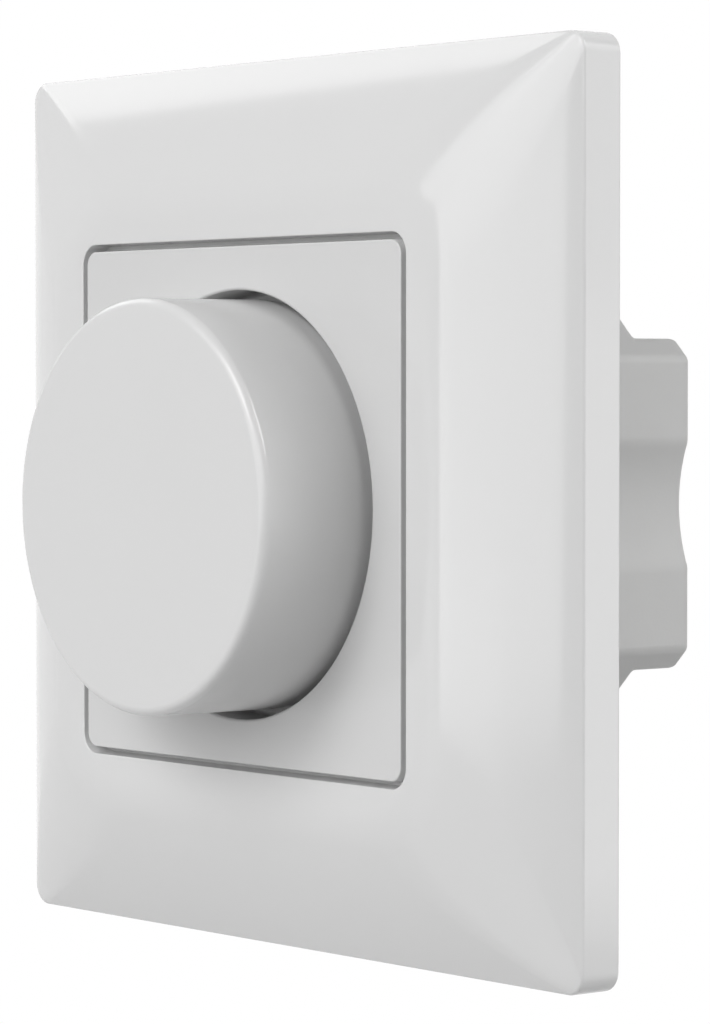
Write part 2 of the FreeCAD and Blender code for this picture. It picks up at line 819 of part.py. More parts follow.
def header_pins():
    """Five pins from the power board to the control board."""
    pins = []
    for x, z in header_places():
        pins.append(box(pin_size, pin_size, control_front - lead_out, power_back + lead_out, x, z))
    return Part.makeCompound(pins)


def choke_middle():
    """Depth of the choke's middle plane, with its winding on the power board."""
    return power_front - wire_thick - choke_thick / 2


def choke_core():
    """Ferrite ring."""
    middle = choke_middle()
    half = choke_thick / 2
    return ring(choke_bore_r, choke_r, middle - half, middle + half, choke_x, choke_z)


def choke_winding():
    """Turns of wire round the ring's section."""
    middle = choke_middle()
    radial = choke_r - choke_bore_r
    turns = []
    for turn in range(winding_turns):
        loop = box(radial + 2 * wire_thick, wire_thick, middle - choke_thick / 2 - wire_thick,
                   power_front, (choke_r + choke_bore_r) / 2)
        room = box(radial, wire_thick, middle - choke_thick / 2, middle + choke_thick / 2,
                   (choke_r + choke_bore_r) / 2)
        wire = loop.cut(room).cut(cylinder(choke_r, middle - choke_thick / 2, middle + choke_thick / 2))
        wire.rotate(Vec(0, 0, 0), Vec(0, 1, 0), 360 * turn / winding_turns)
        wire.translate(Vec(choke_x, 0, choke_z))
        turns.append(wire)
    return Part.makeCompound(turns)


def film_capacitor():
    """Boxed film capacitor."""
    body = box(film_length, film_width, power_front - film_height, power_front, film_x, film_z)
    return body.makeFillet(film_edge_r, flat_edges(body, power_front - film_height, frame_size))


def electrolytic_capacitor():
    """Round can lying on the power board."""
    start = Vec(can_x - can_length / 2, power_front - can_r, can_z)
    return Part.makeCylinder(can_r, can_length, start, Vec(1, 0, 0))


def power_transistors():
    """Two moulded transistors, flat on the power board."""
    bodies = []
    for x in (-transistor_spread / 2, transistor_spread / 2):
        bodies.append(box(transistor_width, transistor_length, power_front - transistor_height,
                          power_front, x, transistor_z))
    return Part.makeCompound(bodies)


def heat_spreader():
    """Aluminium plate on both transistors."""
    back = power_front - transistor_height
    return box(spreader_width, transistor_length, back - spreader_thick, back, 0, transistor_z)


def fuse_link():
    """Cartridge with an end cap on each side."""
    profile = [
        (0, 0), (fuse_r, 0), (fuse_r, fuse_cap), (fuse_r - fuse_neck, fuse_cap),
        (fuse_r - fuse_neck, fuse_length - fuse_cap), (fuse_r, fuse_length - fuse_cap),
        (fuse_r, fuse_length), (0, fuse_length),
    ]
    link = turned(profile)
    link.rotate(Vec(0, 0, 0), Vec(0, 0, 1), -90)
    link.translate(Vec(fuse_x - fuse_length / 2, power_front - fuse_r, fuse_z))
    return link


def surge_absorber():
    """Coated disc lying on the power board."""
    disc = cylinder(absorber_r, power_front - absorber_thick, power_front, absorber_x, absorber_z)
    return disc.makeChamfer(absorber_edge, flat_edges(disc, power_front - absorber_thick, frame_size))


def terminal_pillars():
    """Four brass pillars, each with a wire bore from behind and a threaded hole for its clamp screw."""
    back = block_inside - pillar_end_gap
    pillars = []
    for x, z in four(terminal_spread / 2, pillar_end - pillar_length / 2):
        out = math.copysign(1.0, z)
        pillar = box(pillar_width, pillar_length, power_back, back, x, z)
        pillar = pillar.cut(cylinder(wire_bore_r, back - wire_bore_depth, back, x, out * wire_z))
        thread = Part.makeCylinder(
            clamp_screw_r + thread_gap, wire_inset, Vec(x, clamp_y, out * pillar_end), Vec(0, 0, -out))
        pillars.append(pillar.cut(thread))
    return Part.makeCompound(pillars)


def terminal_screws():
    """Four slotted clamp screws, backed off clear of the wire bores."""
    screws = []
    for x, z in four(terminal_spread / 2, pillar_end + clamp_gap):
        out = math.copysign(1.0, z)
        tip = out * (wire_z + wire_bore_r + clamp_gap)
        shank = Part.makeCylinder(clamp_screw_r, abs(z - tip), Vec(x, clamp_y, tip), Vec(0, 0, out))
        head = Part.makeCylinder(clamp_head_r, clamp_head, Vec(x, clamp_y, z), Vec(0, 0, out))
        slot_z = z + out * (clamp_head - clamp_slot_depth / 2)
        slot = box(3 * clamp_head_r, clamp_slot_depth, clamp_y - clamp_slot_width / 2,
                   clamp_y + clamp_slot_width / 2, x, slot_z)
        screws.append(shank.fuse(head).cut(slot).removeSplitter())
    return Part.makeCompound(screws)


pieces = [
    cover_frame, centre_plate, plate_nut, lock_washer, knob, knob_clip,
    mounting_yoke, yoke_screws, front_cover, rear_housing,
    encoder_bushing, encoder_bracket, encoder_base, encoder_pins, detent_spring, wiper_rotor, rotor_brush,
    shaft, shaft_circlip, switch_plunger, switch_spring,
    control_board, board_screws, controller_chip, header_strip, header_pins, power_board,
    power_transistors, heat_spreader, choke_core, choke_winding, film_capacitor, electrolytic_capacitor,
    fuse_link, surge_absorber, terminal_pillars, terminal_screws,
]

os.makedirs("parts", exist_ok=True)
for piece in pieces:
    shape = piece()
    if not shape.isValid():
        raise ValueError(piece.__name__ + " is not a valid solid")
    shape.exportStep("parts/" + piece.__name__ + ".step")
    print(piece.__name__, len(shape.Solids), round(shape.Volume, 2))
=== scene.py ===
import bmesh
import bpy
import math
from mathutils import Matrix, Vector


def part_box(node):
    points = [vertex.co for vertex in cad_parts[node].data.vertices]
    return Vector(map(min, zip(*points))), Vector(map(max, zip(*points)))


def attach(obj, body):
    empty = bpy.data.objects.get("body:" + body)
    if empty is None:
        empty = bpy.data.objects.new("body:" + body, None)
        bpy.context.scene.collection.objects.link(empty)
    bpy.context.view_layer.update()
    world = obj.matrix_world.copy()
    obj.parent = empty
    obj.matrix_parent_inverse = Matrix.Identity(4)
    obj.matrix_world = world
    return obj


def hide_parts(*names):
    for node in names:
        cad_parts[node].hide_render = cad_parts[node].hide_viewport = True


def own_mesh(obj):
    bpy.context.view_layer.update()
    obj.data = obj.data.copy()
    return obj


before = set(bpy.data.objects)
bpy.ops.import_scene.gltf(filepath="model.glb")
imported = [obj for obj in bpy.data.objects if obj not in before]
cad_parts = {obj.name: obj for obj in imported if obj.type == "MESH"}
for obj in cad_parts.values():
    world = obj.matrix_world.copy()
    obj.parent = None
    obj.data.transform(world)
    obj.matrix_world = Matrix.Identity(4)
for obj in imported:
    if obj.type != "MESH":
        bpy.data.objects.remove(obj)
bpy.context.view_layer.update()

# Rear housing: an eight-sided cup moulded in light grey thermoplastic. Its stepped back block holds the wire
# terminals, a hollow in each side clears the wall box's screw posts, and four screws draw it to the lid.
mm = 0.001
housing_low, housing_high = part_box("rear_housing")
housing_half = housing_high.x
housing_front = housing_low.y
housing_back = housing_high.y
housing_diagonal = 39.0 * mm
housing_wall = 1.8 * mm
housing_edge_r = 0.6 * mm
housing_seam = 0.25 * mm
block_half = 16.0 * mm
block_step = 5.4 * mm
block_wall = 1.2 * mm
step_back = housing_back - block_step
scoop_half = 6.0 * mm
scoop_depth = 1.2 * mm
scoop_r = (scoop_half ** 2 + scoop_depth ** 2) / (2 * scoop_depth)
scoop_x = housing_half - scoop_depth + scoop_r
scoop_steps = 20
boss_r = 3.0 * mm
boss_place = 17.05 * mm
boss_bore_r = 1.45 * mm
boss_bore_depth = 10.0 * mm
wire_x = 9.0 * mm
wire_z = 10.8 * mm
wire_r = 1.6 * mm
wire_funnel = 0.55 * mm
clamp_y = housing_back - 3.1 * mm
window_r = 2.1 * mm
deep_inset = 0.2 * mm
past = 1.0 * mm
housing_pale = (0.56, 0.56, 0.555, 1.0)
housing_deep = (0.53, 0.53, 0.527, 1.0)


def moulded(name, rings, loop=False):
    """Piece over rings of points: quads from ring to ring, with flat ends unless the rings close a loop."""
    shape = bmesh.new()
    rows = [[shape.verts.new(point) for point in ring] for ring in rings]
    if loop:
        rows.append(rows[0])
    count = len(rings[0])
    for first, second in zip(rows, rows[1:]):
        for i in range(count):
            j = (i + 1) % count
            shape.faces.new((first[i], first[j], second[j], second[i]))
    if not loop:
        shape.faces.new(rows[0])
        shape.faces.new(rows[-1])
    bmesh.ops.recalc_face_normals(shape, faces=shape.faces)
    mesh = bpy.data.meshes.new(name)
    shape.to_mesh(mesh)
    shape.free()
    piece = bpy.data.objects.new(name, mesh)
    bpy.context.scene.collection.objects.link(piece)
    return piece


def prism(name, outline, front, back):
    """Straight piece along the depth over an outline of (x, z) points."""
    return moulded(name, [[Vector((x, depth, z)) for x, z in outline] for depth in (front, back)])


def turned(name, profile, steps=48, place=(0.0, 0.0, 0.0), axis=(0.0, 1.0, 0.0)):
    """Piece turned about an axis from (radius, distance along the axis) points."""
    lean = Vector((0.0, 1.0, 0.0)).rotation_difference(Vector(axis)).to_matrix()
    rings = []
    for radius, along in profile:
        ring = []
        for step in range(steps):
            angle = 2 * math.pi * step / steps
            point = Vector((radius * math.cos(angle), along, radius * math.sin(angle)))
            ring.append(lean @ point + Vector(place))
        rings.append(ring)
    return moulded(name, rings)


def combined(piece, tool, operation):
    """The piece after the tool is cut out of it or joined to it."""
    step = piece.modifiers.new("combine", "BOOLEAN")
    step.operation = operation
    step.solver = "EXACT"
    step.object = tool
    shaped = bpy.data.meshes.new_from_object(piece.evaluated_get(bpy.context.evaluated_depsgraph_get()))
    piece.modifiers.clear()
    piece.data = shaped
    bpy.data.objects.remove(tool)
    return piece


def rounded_edges(piece, radius, sharper_than, steps, kept):
    """Rounds the edges that bend by more than an angle, apart from those whose middle is in a kept place."""
    shape = bmesh.new()
    shape.from_mesh(piece.data)
    chosen = []
    for edge in shape.edges:
        middle = (edge.verts[0].co + edge.verts[1].co) / 2
        bend = edge.calc_face_angle(0.0)
        if bend > math.radians(sharper_than) and not kept(middle):
            chosen.append(edge)
    bmesh.ops.bevel(shape, geom=chosen, offset=radius, segments=steps, profile=0.5, affect="EDGES",
                    clamp_overlap=True)
    shape.to_mesh(piece.data)
    shape.free()


def moulded_look(piece, angle=30):
    """Smooth shading that keeps edges sharper than the angle, and keeps flat faces flat."""
    piece.data.shade_smooth()
    piece.data.set_sharp_from_angle(angle=math.radians(angle))
    weighted = piece.modifiers.new("flat faces", "WEIGHTED_NORMAL")
    weighted.keep_sharp = True


def four_places(x, z):
    """The four places that mirror (x, z) in both middle planes."""
    return [(x, z), (-x, z), (-x, -z), (x, -z)]


def housing_outline(half, diagonal, top, growth):
    """Eight-sided outline no higher than top, with both side hollows; growth is the wall round them."""
    side = diagonal - half
    cut = diagonal - top
    reach = scoop_r + growth
    spread = math.acos((scoop_x - half) / reach)
    right = [(cut, -top), (half, -side)]
    for step in range(scoop_steps + 1):
        angle = spread * (2 * step / scoop_steps - 1)
        right.append((scoop_x - reach * math.cos(angle), reach * math.sin(angle)))
    right += [(half, side), (cut, top)]
    return right + [(-x, -z) for x, z in right]


housing = prism("rear_housing_cup", housing_outline(housing_half, housing_diagonal, housing_half, 0.0),
                housing_front, housing_back)
for up in (1, -1):
    wide = 2 * housing_half
    ledge = [(-wide, up * block_half), (wide, up * block_half), (wide, up * wide), (-wide, up * wide)]
    combined(housing, prism("step", ledge, step_back, housing_back + past), "DIFFERENCE")
rounded_edges(housing, housing_edge_r, sharper_than=15, steps=4,
              kept=lambda middle: middle.y < housing_front + past / 2)
rounded_edges(housing, housing_seam, sharper_than=60, steps=1,
              kept=lambda middle: middle.y > housing_front + past / 10)
cavity_half = housing_half - housing_wall
cavity_diagonal = housing_diagonal - housing_wall * math.sqrt(2)
floor_inside = step_back - housing_wall
room = prism("room", housing_outline(cavity_half, cavity_diagonal, cavity_half, housing_wall),
             housing_front - past, floor_inside)
for x, z in four_places(boss_place, boss_place):
    boss = turned("boss", [(boss_r, housing_front - 2 * past), (boss_r, housing_back)], place=(x, 0.0, z))
    combined(room, boss, "DIFFERENCE")
combined(housing, room, "DIFFERENCE")
deep_outline = housing_outline(cavity_half - deep_inset, cavity_diagonal - 2 * deep_inset,
                               block_half - housing_wall, housing_wall + deep_inset)
deep_room = prism("deep_room", deep_outline, floor_inside - past, housing_back - block_wall)
combined(housing, deep_room, "DIFFERENCE")
for x, z in four_places(boss_place, boss_place):
    bore_ends = [(boss_bore_r, housing_front - past), (boss_bore_r, housing_front + boss_bore_depth)]
    bore = turned("bore", bore_ends, steps=24, place=(x, 0.0, z))
    combined(housing, bore, "DIFFERENCE")
for x, z in four_places(wire_x, wire_z):
    funnel_r = wire_r + wire_funnel
    entry = turned("entry", [(wire_r, housing_back - block_wall - past),
                             (wire_r, housing_back - wire_funnel), (funnel_r, housing_back),
                             (funnel_r, housing_back + past)], place=(x, 0.0, z))
    combined(housing, entry, "DIFFERENCE")
    out = math.copysign(1.0, z)
    window = turned("window", [(window_r, block_half - 2 * housing_wall), (window_r, block_half + past)],
                    place=(x, clamp_y, 0.0), axis=(0.0, 0.0, out))
    combined(housing, window, "DIFFERENCE")
moulded_look(housing)


def node(tree, kind, **values):
    """Adds a node; each value goes to the input of that name, or else to the node's own setting."""
    made = tree.nodes.new(kind)
    for name, value in values.items():
        label = name.replace("_", " ")
        if label in made.inputs:
            made.inputs[label].default_value = value
        else:
            setattr(made, name, value)
    return made


def skin_group(name, inputs):
    """Empty node group for a surface, with a colour, roughness and height to put out."""
    group = bpy.data.node_groups.new(name, "ShaderNodeTree")
    for label, kind in inputs:
        group.interface.new_socket(label, in_out="INPUT", socket_type="NodeSocket" + kind)
    for label, kind in (("Colour", "Color"), ("Roughness", "Float"), ("Height", "Float")):
        group.interface.new_socket(label, in_out="OUTPUT", socket_type="NodeSocket" + kind)
    return group, node(group, "NodeGroupInput"), node(group, "NodeGroupOutput")


def blended(tree, share, first, second):
    """A colour between two others, by a share that changes over the surface."""
    mix = node(tree, "ShaderNodeMix", data_type="RGBA")
    tree.links.new(share, mix.inputs[0])
    tree.links.new(first, mix.inputs[6])
    tree.links.new(second, mix.inputs[7])
    return mix.outputs[2]


def ranged(tree, value, low, high):
    """A value from low to high, by a noise that mostly stays in the middle half of its range."""
    spread = node(tree, "ShaderNodeMapRange", From_Min=0.25, From_Max=0.75)
    tree.links.new(value, spread.inputs["Value"])
    tree.links.new(low, spread.inputs["To Min"])
    tree.links.new(high, spread.inputs["To Max"])
    return spread.outputs["Result"]


moulding_skin, given, put_out = skin_group("moulding_skin", (
    ("Pale", "Color"), ("Deep", "Color"), ("Cloud Scale", "Float"), ("Grain Scale", "Float"),
    ("Smooth", "Float"), ("Matt", "Float")))
where = node(moulding_skin, "ShaderNodeTexCoord").outputs["Object"]
cloud = node(moulding_skin, "ShaderNodeTexNoise", Detail=3.0, Roughness=0.6)
handling = node(moulding_skin, "ShaderNodeTexNoise", Scale=220.0, Detail=4.0, Distortion=0.6)
grain = node(moulding_skin, "ShaderNodeTexNoise", Detail=1.5, Roughness=0.4)
for texture in (cloud, handling, grain):
    moulding_skin.links.new(where, texture.inputs["Vector"])
moulding_skin.links.new(given.outputs["Cloud Scale"], cloud.inputs["Scale"])
moulding_skin.links.new(given.outputs["Grain Scale"], grain.inputs["Scale"])
clouded = blended(moulding_skin, cloud.outputs["Fac"], given.outputs["Pale"], given.outputs["Deep"])
handled = ranged(moulding_skin, handling.outputs["Fac"], given.outputs["Smooth"], given.outputs["Matt"])
moulding_skin.links.new(clouded, put_out.inputs["Colour"])
moulding_skin.links.new(handled, put_out.inputs["Roughness"])
moulding_skin.links.new(grain.outputs["Fac"], put_out.inputs["Height"])


def finished(name, group, relief, values, metallic=0.0):
    """Material whose colour, roughness and relief come from a skin group with these values."""
    material = bpy.data.materials.new(name)
    material.use_nodes = True
    tree = material.node_tree
    shader = tree.nodes["Principled BSDF"]
    shader.inputs["Metallic"].default_value = metallic
    skin = node(tree, "ShaderNodeGroup", node_tree=group)
    for label, value in values.items():
        skin.inputs[label].default_value = value
    bump = node(tree, "ShaderNodeBump", Strength=1.0, Distance=relief)
    tree.links.new(skin.outputs["Colour"], shader.inputs["Base Color"])
    tree.links.new(skin.outputs["Roughness"], shader.inputs["Roughness"])
    tree.links.new(skin.outputs["Height"], bump.inputs["Height"])
    tree.links.new(bump.outputs["Normal"], shader.inputs["Normal"])
    return material


housing_plastic = finished("housing_plastic", moulding_skin, relief=0.006 * mm, values={
    "Pale": housing_pale, "Deep": housing_deep, "Cloud Scale": 90.0, "Grain Scale": 3200.0,
    "Smooth": 0.42, "Matt": 0.52})
housing.data.materials.append(housing_plastic)
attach(housing, "base")
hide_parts("rear_housing")

# Wire terminals: four sawn brass pillars, each bored for a wire from behind, with a plated slotted screw that
# clamps it. They stand in the housing's back block, and the screws show in its windows.
pillar_gold = (0.72, 0.55, 0.26, 1.0)
pillar_tarnish = (0.58, 0.42, 0.19, 1.0)
screw_bright = (0.68, 0.66, 0.6, 1.0)
screw_dull = (0.52, 0.51, 0.47, 1.0)
_, clamp_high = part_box("terminal_screws")
clamp_head_r = 1.9 * mm
clamp_head = 1.6 * mm
clamp_edge = 0.35 * mm
clamp_shank_r = 1.25 * mm
clamp_slot = 0.5 * mm
clamp_slot_depth = 0.6 * mm
clamp_gap = 0.15 * mm
thread_pitch = 0.5 * mm
thread_depth = 0.18 * mm
thread_start = 0.2 * mm
thread_root_r = clamp_shank_r - thread_depth

metal_skin, given, put_out = skin_group("metal_skin", (
    ("Bright", "Color"), ("Dull", "Color"), ("Streak", "Vector"), ("Smooth", "Float"), ("Matt", "Float")))
where = node(metal_skin, "ShaderNodeTexCoord").outputs["Object"]
drawn = node(metal_skin, "ShaderNodeVectorMath", operation="MULTIPLY")
streaks = node(metal_skin, "ShaderNodeTexNoise", Scale=1.0, Detail=4.0, Roughness=0.65)
patches = node(metal_skin, "ShaderNodeTexVoronoi", Scale=420.0, Randomness=1.0)
metal_skin.links.new(where, drawn.inputs[0])
metal_skin.links.new(given.outputs["Streak"], drawn.inputs[1])
metal_skin.links.new(drawn.outputs["Vector"], streaks.inputs["Vector"])
metal_skin.links.new(where, patches.inputs["Vector"])
streaked = blended(metal_skin, streaks.outputs["Fac"], given.outputs["Bright"], given.outputs["Dull"])
patched = ranged(metal_skin, patches.outputs["Color"], given.outputs["Smooth"], given.outputs["Matt"])
metal_skin.links.new(streaked, put_out.inputs["Colour"])
metal_skin.links.new(patched, put_out.inputs["Roughness"])
metal_skin.links.new(streaks.outputs["Fac"], put_out.inputs["Height"])


def joined(name, parts):
    """One piece from several separate parts."""
    shape = bmesh.new()
    for part in parts:
        shape.from_mesh(part.data)
        bpy.data.objects.remove(part)
    mesh = bpy.data.meshes.new(name)
    shape.to_mesh(mesh)
    shape.free()
    piece = bpy.data.objects.new(name, mesh)
    bpy.context.scene.collection.objects.link(piece)
    return piece


def dressed(material, *nodes):
    """Gives carried-over nodes their material."""
    for name in nodes:
        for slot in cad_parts[name].material_slots:
            slot.material = material


def quarter_round(steps):
    """Sine and cosine at equal steps over a quarter of a circle, with both ends."""
    angles = [math.radians(90 * step / steps) for step in range(steps + 1)]
    return [(math.sin(angle), math.cos(angle)) for angle in angles]


screws = []
for x, z in four_places(wire_x, clamp_high.z):
    out = math.copysign(1.0, z)
    top = abs(z)
    shank_end = wire_z + wire_r + clamp_gap
    under_head = top - clamp_head
    profile = [(thread_root_r, shank_end)]
    turns = int((under_head - shank_end - thread_pitch) / thread_pitch)
    for turn in range(turns):
        start = shank_end + thread_start + turn * thread_pitch
        profile += [(thread_root_r, start), (clamp_shank_r, start + thread_pitch / 2)]
    profile += [(thread_root_r, under_head), (clamp_head_r, under_head),
                (clamp_head_r, top - clamp_edge)]
    for sin, cos in quarter_round(3)[1:]:
        profile.append((clamp_head_r - clamp_edge * (1 - cos), top - clamp_edge + clamp_edge * sin))
    screw = turned("clamp_screw", profile, steps=40, place=(x, clamp_y, 0.0), axis=(0.0, 0.0, out))
    reach = 2 * clamp_head_r
    slot_floor = out * (top - clamp_slot_depth)
    slot = [(x - reach, slot_floor), (x + reach, slot_floor), (x + reach, out * (top + past)),
            (x - reach, out * (top + past))]
    combined(screw, prism("slot", slot, clamp_y - clamp_slot / 2, clamp_y + clamp_slot / 2), "DIFFERENCE")
    screws.append(screw)
clamp_screws = joined("terminal_clamp_screws", screws)
moulded_look(clamp_screws)
screw_steel = finished("screw_steel", metal_skin, relief=0.002 * mm, values={
    "Bright": screw_bright, "Dull": screw_dull, "Streak": (900.0, 2400.0, 900.0), "Smooth": 0.28,
    "Matt": 0.42}, metallic=1.0)
pillar_brass = finished("pillar_brass", metal_skin, relief=0.003 * mm, values={
    "Bright": pillar_gold, "Dull": pillar_tarnish, "Streak": (300.0, 2600.0, 300.0), "Smooth": 0.28,
    "Matt": 0.42}, metallic=1.0)
clamp_screws.data.materials.append(screw_steel)
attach(clamp_screws, "base")
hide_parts("terminal_screws")
dressed(pillar_brass, "terminal_pillars")

# Power board: glass-fibre laminate with a green mask, on pads in the housing. It carries two transistors
# under an aluminium spreader, a wound choke, two capacitors, a fuse and a surge absorber, all soldered to it.
mask_pale = (0.05, 0.2, 0.09, 1.0)
mask_deep = (0.03, 0.13, 0.06, 1.0)
weave_scale = 110.0

laminate = bpy.data.materials.new("board_laminate")
laminate.use_nodes = True
tree = laminate.node_tree
shader = tree.nodes["Principled BSDF"]
where = node(tree, "ShaderNodeTexCoord").outputs["Object"]
across = node(tree, "ShaderNodeTexWave", Scale=weave_scale, Distortion=0.4, bands_direction="X")
along = node(tree, "ShaderNodeTexWave", Scale=weave_scale, Distortion=0.4, bands_direction="Z")
mottle = node(tree, "ShaderNodeTexNoise", Scale=400.0, Detail=3.0)
weave = node(tree, "ShaderNodeMath", operation="MAXIMUM")
mask = node(tree, "ShaderNodeValToRGB")
mask.color_ramp.elements[0].color = mask_deep
mask.color_ramp.elements[1].color = mask_pale
dull = node(tree, "ShaderNodeMapRange", To_Min=0.28, To_Max=0.45)
bump = node(tree, "ShaderNodeBump", Strength=0.6, Distance=0.01 * mm)
for texture in (across, along, mottle):
    tree.links.new(where, texture.inputs["Vector"])
tree.links.new(across.outputs["Fac"], weave.inputs[0])
tree.links.new(along.outputs["Fac"], weave.inputs[1])
tree.links.new(mottle.outputs["Fac"], mask.inputs["Fac"])
tree.links.new(mottle.outputs["Fac"], dull.inputs["Value"])
tree.links.new(weave.outputs["Value"], bump.inputs["Height"])
tree.links.new(mask.outputs["Color"], shader.inputs["Base Color"])
tree.links.new(dull.outputs["Result"], shader.inputs["Roughness"])
tree.links.new(bump.outputs["Normal"], shader.inputs["Normal"])
dressed(laminate, "power_board", "control_board")

plain_aluminium = finished("plain_aluminium", metal_skin, relief=0.002 * mm, values={
    "Bright": (0.74, 0.75, 0.76, 1.0), "Dull": (0.6, 0.61, 0.62, 1.0), "Streak": (120.0, 2400.0, 2400.0),
    "Smooth": 0.28, "Matt": 0.4}, metallic=1.0)
dressed(plain_aluminium, "heat_spreader", "electrolytic_capacitor")
ring_coating = finished("ring_coating", moulding_skin, relief=0.012 * mm, values={
    "Pale": (0.62, 0.55, 0.2, 1.0), "Deep": (0.5, 0.43, 0.14, 1.0), "Cloud Scale": 300.0,
    "Grain Scale": 2400.0, "Smooth": 0.35, "Matt": 0.5})
dressed(ring_coating, "choke_core")
enamelled_copper = finished("enamelled_copper", metal_skin, relief=0.001 * mm, values={
    "Bright": (0.7, 0.32, 0.15, 1.0), "Dull": (0.55, 0.23, 0.1, 1.0), "Streak": (800.0, 800.0, 800.0),
    "Smooth": 0.18, "Matt": 0.26}, metallic=1.0)
dressed(enamelled_copper, "choke_winding")
capacitor_yellow = finished("capacitor_yellow", moulding_skin, relief=0.008 * mm, values={
    "Pale": (0.62, 0.42, 0.06, 1.0), "Deep": (0.54, 0.35, 0.04, 1.0), "Cloud Scale": 200.0,
    "Grain Scale": 2600.0, "Smooth": 0.4, "Matt": 0.52})
dressed(capacitor_yellow, "film_capacitor")
fuse_ceramic = finished("fuse_ceramic", moulding_skin, relief=0.004 * mm, values={
    "Pale": (0.78, 0.75, 0.68, 1.0), "Deep": (0.7, 0.66, 0.58, 1.0), "Cloud Scale": 260.0,
    "Grain Scale": 3000.0, "Smooth": 0.18, "Matt": 0.26})
dressed(fuse_ceramic, "fuse_link")
absorber_blue = finished("absorber_blue", moulding_skin, relief=0.01 * mm, values={
    "Pale": (0.06, 0.17, 0.42, 1.0), "Deep": (0.04, 0.12, 0.33, 1.0), "Cloud Scale": 220.0,
    "Grain Scale": 2000.0, "Smooth": 0.28, "Matt": 0.36})
dressed(absorber_blue, "surge_absorber")
black_moulding = finished("black_moulding", moulding_skin, relief=0.01 * mm, values={
    "Pale": (0.028, 0.028, 0.03, 1.0), "Deep": (0.018, 0.018, 0.02, 1.0), "Cloud Scale": 200.0,
    "Grain Scale": 2800.0, "Smooth": 0.45, "Matt": 0.6})
dressed(black_moulding, "power_transistors", "header_strip")
pin_brass = finished("pin_brass", metal_skin, relief=0.001 * mm, values={
    "Bright": (0.76, 0.6, 0.3, 1.0), "Dull": (0.62, 0.47, 0.22, 1.0), "Streak": (2000.0, 300.0, 2000.0),
    "Smooth": 0.28, "Matt": 0.36}, metallic=1.0)
dressed(pin_brass, "header_pins")

# Control board: the same laminate, screwed to posts of the lid. The controller chip is on its back, and the
# control's pins and tabs are soldered through it.
dressed(black_moulding, "controller_chip")
dressed(screw_steel, "board_screws")

# Push-and-turn control: a moulded case with a ribbed rotor, its brush and detent leaf, and a plunger behind
# the shaft. A die-cast bushing, a folded strap and a turned shaft with a circlip close it at the front.
leaf_steel = finished("leaf_steel", metal_skin, relief=0.001 * mm, values={
    "Bright": (0.56, 0.56, 0.57, 1.0), "Dull": (0.44, 0.44, 0.45, 1.0), "Streak": (300.0, 300.0, 3000.0),
    "Smooth": 0.28, "Matt": 0.36}, metallic=1.0)
cast_zinc = finished("cast_zinc", metal_skin, relief=0.006 * mm, values={
    "Bright": (0.6, 0.6, 0.61, 1.0), "Dull": (0.48, 0.48, 0.49, 1.0), "Streak": (700.0, 700.0, 700.0),
    "Smooth": 0.36, "Matt": 0.52}, metallic=1.0)
turned_metal = finished("turned_metal", metal_skin, relief=0.002 * mm, values={
    "Bright": (0.76, 0.76, 0.77, 1.0), "Dull": (0.62, 0.62, 0.63, 1.0), "Streak": (200.0, 5000.0, 200.0),
    "Smooth": 0.28, "Matt": 0.36}, metallic=1.0)
zinc_plate = finished("zinc_plate", metal_skin, relief=0.002 * mm, values={
    "Bright": (0.66, 0.67, 0.68, 1.0), "Dull": (0.53, 0.54, 0.56, 1.0), "Streak": (160.0, 900.0, 1800.0),
    "Smooth": 0.28, "Matt": 0.44}, metallic=1.0)
dressed(black_moulding, "encoder_base", "wiper_rotor", "switch_plunger")
dressed(pin_brass, "encoder_pins", "rotor_brush")
dressed(leaf_steel, "detent_spring", "shaft_circlip")
dressed(cast_zinc, "encoder_bushing")
dressed(zinc_plate, "encoder_bracket")
dressed(turned_metal, "shaft")

# Switch spring: a leaf of thin brass strip, bowed so that it rests on the control board by its two feet. The
# plunger flattens it to close the contact, and it lifts the plunger and the knob again.
leaf_low, leaf_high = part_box("switch_spring")
leaf_half = leaf_high.x
leaf_wide = leaf_high.z
leaf_deep = leaf_high.y - leaf_low.y
leaf_thick = 0.2 * mm
leaf_edge = 0.05 * mm
leaf_bow = leaf_deep - leaf_thick
leaf_bow_r = (leaf_half ** 2 + leaf_bow ** 2) / (2 * leaf_bow)
leaf_steps = 40
strip = [(leaf_edge, -leaf_wide), (0.0, leaf_edge - leaf_wide),
         (0.0, leaf_wide - leaf_edge), (leaf_edge, leaf_wide)]
strip += [(leaf_thick - depth, z) for depth, z in reversed(strip)]
rings = []
for step in range(leaf_steps + 1):
    x = leaf_half * (2 * step / leaf_steps - 1)
    front = leaf_low.y + leaf_bow_r - math.sqrt(leaf_bow_r ** 2 - x ** 2)
    rings.append([Vector((x, front + depth, z)) for depth, z in strip])
leaf = moulded("switch_leaf", rings)
moulded_look(leaf)
leaf.data.materials.append(pin_brass)
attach(leaf, "base")
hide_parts("switch_spring")
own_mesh(leaf)

# Front cover: the housing's lid, moulded in the same grey plastic, with the round tower that carries the
# control. Its edge shows as the front band of the housing, and the four yoke screws clamp it.
dressed(housing_plastic, "front_cover")

# Mounting yoke: a stamped and folded steel plate, zinc-plated, with a slot on each side for the box's screws
# and a lip folded forward on each edge. Four pan-head screws hold it, the lid and the housing together.
dressed(zinc_plate, "mounting_yoke")
dressed(screw_steel, "yoke_screws")

